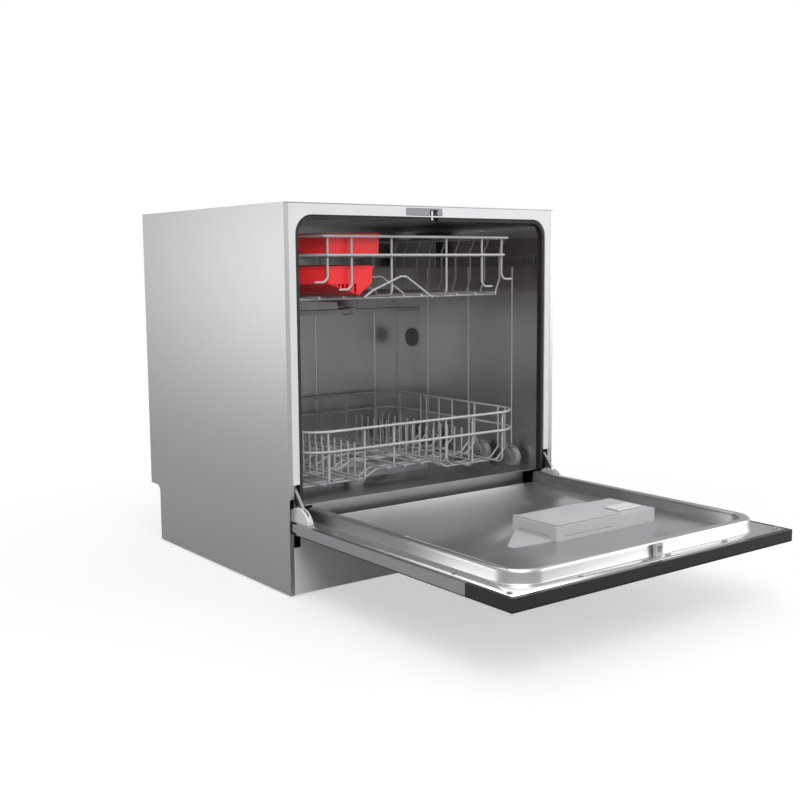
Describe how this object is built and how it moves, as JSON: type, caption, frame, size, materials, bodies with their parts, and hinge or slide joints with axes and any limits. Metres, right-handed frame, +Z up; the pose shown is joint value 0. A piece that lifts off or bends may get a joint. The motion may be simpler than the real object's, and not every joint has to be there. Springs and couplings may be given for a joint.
{
  "type": "countertop dishwasher",
  "caption": "Boxy front-loading countertop dishwasher: fold-down door, wire racks on wheels, cutlery trays and spray arms.",
  "frame": {"origin": "middle of the foot of the cabinet front plane, on the surface that it stands on, which is the middle of the box round the machine with its door down", "axes": "+X to the right seen from the front, +Y to the back, +Z up; the open door points along -Y"},
  "size_m": [0.6, 1.08, 0.65],
  "materials": {
    "panel_steel": "brushed satin steel sheet",
    "frame_grey": "smooth light grey",
    "zinc_sheet": "plain zinc coated sheet",
    "tub_steel": "bright stainless sheet",
    "liner_steel": "pressed bright stainless sheet",
    "black_rubber": "matt black rubber",
    "black_gloss": "glossy black",
    "dark_strip": "dark steel grey",
    "grey_plastic": "moulded mid grey",
    "light_plastic": "moulded light grey",
    "white_plastic": "moulded off white",
    "black_plastic": "moulded black",
    "blue_plastic": "moulded dark blue",
    "red_plastic": "moulded bright red",
    "wire_coat": "smooth silver grey coat",
    "zinc_metal": "zinc plated steel"
  },
  "bodies": {
    "cabinet": {"side_panel_left": "panel_steel", "side_panel_right": "panel_steel", "top_panel": "panel_steel", "back_panel": "zinc_sheet", "base_pan": "zinc_sheet", "feet": "black_rubber", "toe_kick": "frame_grey", "front_frame": "frame_grey", "tub_wrap": "tub_steel", "tub_back": "tub_steel", "tub_base": "tub_steel", "door_seal": "black_rubber", "latch_housing": "grey_plastic", "hinge_brackets": "zinc_metal", "upper_rails": "zinc_metal", "sump": "black_plastic", "flat_filter": "tub_steel", "wash_pump": "black_plastic", "drain_pump": "black_plastic", "inlet_valve": "blue_plastic", "drain_spigot": "grey_plastic", "mains_inlet": "black_plastic", "feed_pipe": "grey_plastic", "vent_cap": "grey_plastic", "arm_post": "grey_plastic"},
    "latch": {"latch_hook": "zinc_metal"},
    "filter": {"coarse_filter": "grey_plastic"},
    "salt_lid": {"salt_cap": "grey_plastic"},
    "low_spray": {"lower_arm": "grey_plastic"},
    "door": {"door_panel": "black_gloss", "door_strips": "dark_strip", "door_end_cap": "black_gloss", "door_liner": "liner_steel", "door_screws": "zinc_metal", "hinge_arms": "zinc_metal", "hinge_covers": "white_plastic", "door_keeper": "light_plastic", "dispenser_body": "light_plastic"},
    "soap_lid": {"dispenser_lid": "light_plastic"},
    "rinse_slider": {"rinse_lever": "white_plastic"},
    "lower_rack": {"lower_floor": "wire_coat", "lower_front": "wire_coat", "lower_sides": "wire_coat", "lower_back": "wire_coat", "lower_tines": "wire_coat", "wheel_brackets": "grey_plastic"},
    "axle_front": {"wheels_front": "grey_plastic"},
    "axle_second": {"wheels_second": "grey_plastic"},
    "axle_third": {"wheels_third": "grey_plastic"},
    "axle_rear": {"wheels_rear": "grey_plastic"},
    "upper_rack": {"upper_floor": "wire_coat", "upper_front": "wire_coat", "upper_sides": "wire_coat", "upper_back": "wire_coat", "upper_tray": "red_plastic", "lower_tray": "red_plastic", "arm_feed": "grey_plastic"},
    "mid_spray": {"middle_arm": "grey_plastic"},
    "roller_front": {"rollers_front": "light_plastic"},
    "roller_rear": {"rollers_rear": "light_plastic"}
  },
  "joints": [
    {"name": "door_hinge", "type": "hinge", "parent": "cabinet", "child": "door", "pos_m": [0, -0.0115, 0.1185], "axis": [1, 0, 0], "range_deg": [-90, 0]},
    {"name": "lower_rack_slide", "type": "slide", "parent": "cabinet", "child": "lower_rack", "axis": [0, -1, 0], "range_m": [0, 0.388]},
    {"name": "upper_rack_slide", "type": "slide", "parent": "cabinet", "child": "upper_rack", "axis": [0, -1, 0], "range_m": [0, 0.262]},
    {"name": "soap_lid_hinge", "type": "hinge", "parent": "door", "child": "soap_lid", "pos_m": [0, -0.272, 0.1514], "axis": [1, 0, 0], "range_deg": [-100, 0]},
    {"name": "rinse_slide", "type": "slide", "parent": "door", "child": "rinse_slider", "axis": [1, 0, 0], "range_m": [-0.004, 0]},
    {"name": "latch_swing", "type": "hinge", "parent": "cabinet", "child": "latch", "pos_m": [0, 0.043, 0.6385], "axis": [-1, 0, 0], "range_deg": [-6, 0]},
    {"name": "filter_turn", "type": "hinge", "parent": "cabinet", "child": "filter", "pos_m": [0.1, 0.33, 0.1], "axis": [0, 0, 1], "range_deg": [-90, 0]},
    {"name": "salt_lid_turn", "type": "hinge", "parent": "cabinet", "child": "salt_lid", "pos_m": [-0.12, 0.33, 0.11], "axis": [0, 0, 1], "range_deg": [-360, 0]},
    {"name": "low_spray_spin", "type": "hinge", "parent": "cabinet", "child": "low_spray", "pos_m": [0, 0.24985, 0.137], "axis": [0, 0, 1], "continuous": true},
    {"name": "mid_spray_spin", "type": "hinge", "parent": "upper_rack", "child": "mid_spray", "pos_m": [0, 0.262, 0.458], "axis": [0, 0, 1], "continuous": true},
    {"name": "axle_front_roll", "type": "hinge", "parent": "lower_rack", "child": "axle_front", "pos_m": [0, 0.069, 0.1668], "axis": [1, 0, 0], "continuous": true},
    {"name": "axle_second_roll", "type": "hinge", "parent": "lower_rack", "child": "axle_second", "pos_m": [0, 0.158, 0.1668], "axis": [1, 0, 0], "continuous": true},
    {"name": "axle_third_roll", "type": "hinge", "parent": "lower_rack", "child": "axle_third", "pos_m": [0, 0.316, 0.1668], "axis": [1, 0, 0], "continuous": true},
    {"name": "axle_rear_roll", "type": "hinge", "parent": "lower_rack", "child": "axle_rear", "pos_m": [0, 0.41, 0.1668], "axis": [1, 0, 0], "continuous": true},
    {"name": "roller_front_roll", "type": "hinge", "parent": "upper_rack", "child": "roller_front", "pos_m": [0, 0.32, 0.552], "axis": [1, 0, 0], "continuous": true},
    {"name": "roller_rear_roll", "type": "hinge", "parent": "upper_rack", "child": "roller_rear", "pos_m": [0, 0.44, 0.552], "axis": [1, 0, 0], "continuous": true}
  ],
  "couplings": [
    {"joint": "axle_front_roll", "follows": "lower_rack_slide", "rad_per_m": 54.054},
    {"joint": "axle_second_roll", "follows": "lower_rack_slide", "rad_per_m": 54.054},
    {"joint": "axle_third_roll", "follows": "lower_rack_slide", "rad_per_m": 54.054},
    {"joint": "axle_rear_roll", "follows": "lower_rack_slide", "rad_per_m": 54.054},
    {"joint": "roller_front_roll", "follows": "upper_rack_slide", "rad_per_m": 125},
    {"joint": "roller_rear_roll", "follows": "upper_rack_slide", "rad_per_m": 125}
  ]
}
